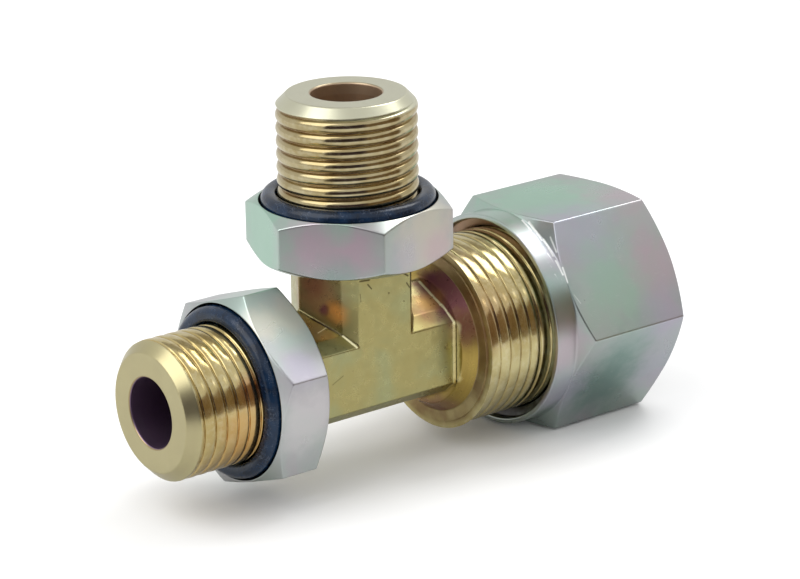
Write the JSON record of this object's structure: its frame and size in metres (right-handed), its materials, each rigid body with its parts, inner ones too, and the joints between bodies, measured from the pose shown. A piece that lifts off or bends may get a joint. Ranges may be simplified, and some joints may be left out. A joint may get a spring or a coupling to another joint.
{
  "type": "brake line tee fitting",
  "caption": "Forged brass tee with threaded studs, hexagon locknuts with O-rings, and a cone end with a union nut and cutting ring for a rigid pipe.",
  "frame": {"origin": "the point inside the body where the run axis and the branch axis cross", "axes": "+X along the run towards the union nut, +Z along the branch stud towards its tip, -Y out of the flat front face of the body; the forging's parting plane is Y = 0"},
  "size_m": [0.0669, 0.0294, 0.044],
  "materials": {
    "forged_brass": "satin forged and turned brass with purple-brown tarnish in the threads",
    "zinc_steel": "bright zinc plating with a faint green and pink passivation film",
    "seal_rubber": "blue-black rubber with a soft sheen and scuffs",
    "ring_steel": "plain turned steel with a light oil film"
  },
  "bodies": {
    "tee": {"tee_body": "forged_brass"},
    "branch_seal": {"branch_o_ring": "seal_rubber"},
    "branch_nut": {"branch_locknut": "zinc_steel"},
    "run_seal": {"run_o_ring": "seal_rubber"},
    "run_nut": {"run_locknut": "zinc_steel"},
    "ring": {"cutting_ring": "ring_steel"},
    "coupling_nut": {"union_nut": "zinc_steel"}
  },
  "joints": [
    {"name": "branch_seal_advance", "type": "slide", "parent": "tee", "child": "branch_seal", "axis": [0, 0, 1], "range_m": [-0.00015, 0.006]},
    {"name": "branch_nut_turn", "type": "hinge", "parent": "branch_seal", "child": "branch_nut", "pos_m": [0, 0, 0.016], "axis": [0, 0, 1], "range_deg": [-36, 1440]},
    {"name": "run_seal_advance", "type": "slide", "parent": "tee", "child": "run_seal", "axis": [-1, 0, 0], "range_m": [-0.0018, 0.006]},
    {"name": "run_nut_turn", "type": "hinge", "parent": "run_seal", "child": "run_nut", "pos_m": [-0.014, 0, 0], "axis": [-1, 0, 0], "range_deg": [-432, 1440]},
    {"name": "ring_advance", "type": "slide", "parent": "tee", "child": "ring", "axis": [1, 0, 0], "range_m": [-0.0015, 0.00225]},
    {"name": "union_nut_turn", "type": "hinge", "parent": "ring", "child": "coupling_nut", "pos_m": [0.03, 0, 0], "axis": [1, 0, 0], "range_deg": [-360, 540]}
  ],
  "couplings": [
    {"joint": "branch_seal_advance", "follows": "branch_nut_turn", "m_per_rad": 0.00023873},
    {"joint": "run_seal_advance", "follows": "run_nut_turn", "m_per_rad": 0.00023873},
    {"joint": "ring_advance", "follows": "union_nut_turn", "m_per_rad": 0.00023873}
  ]
}
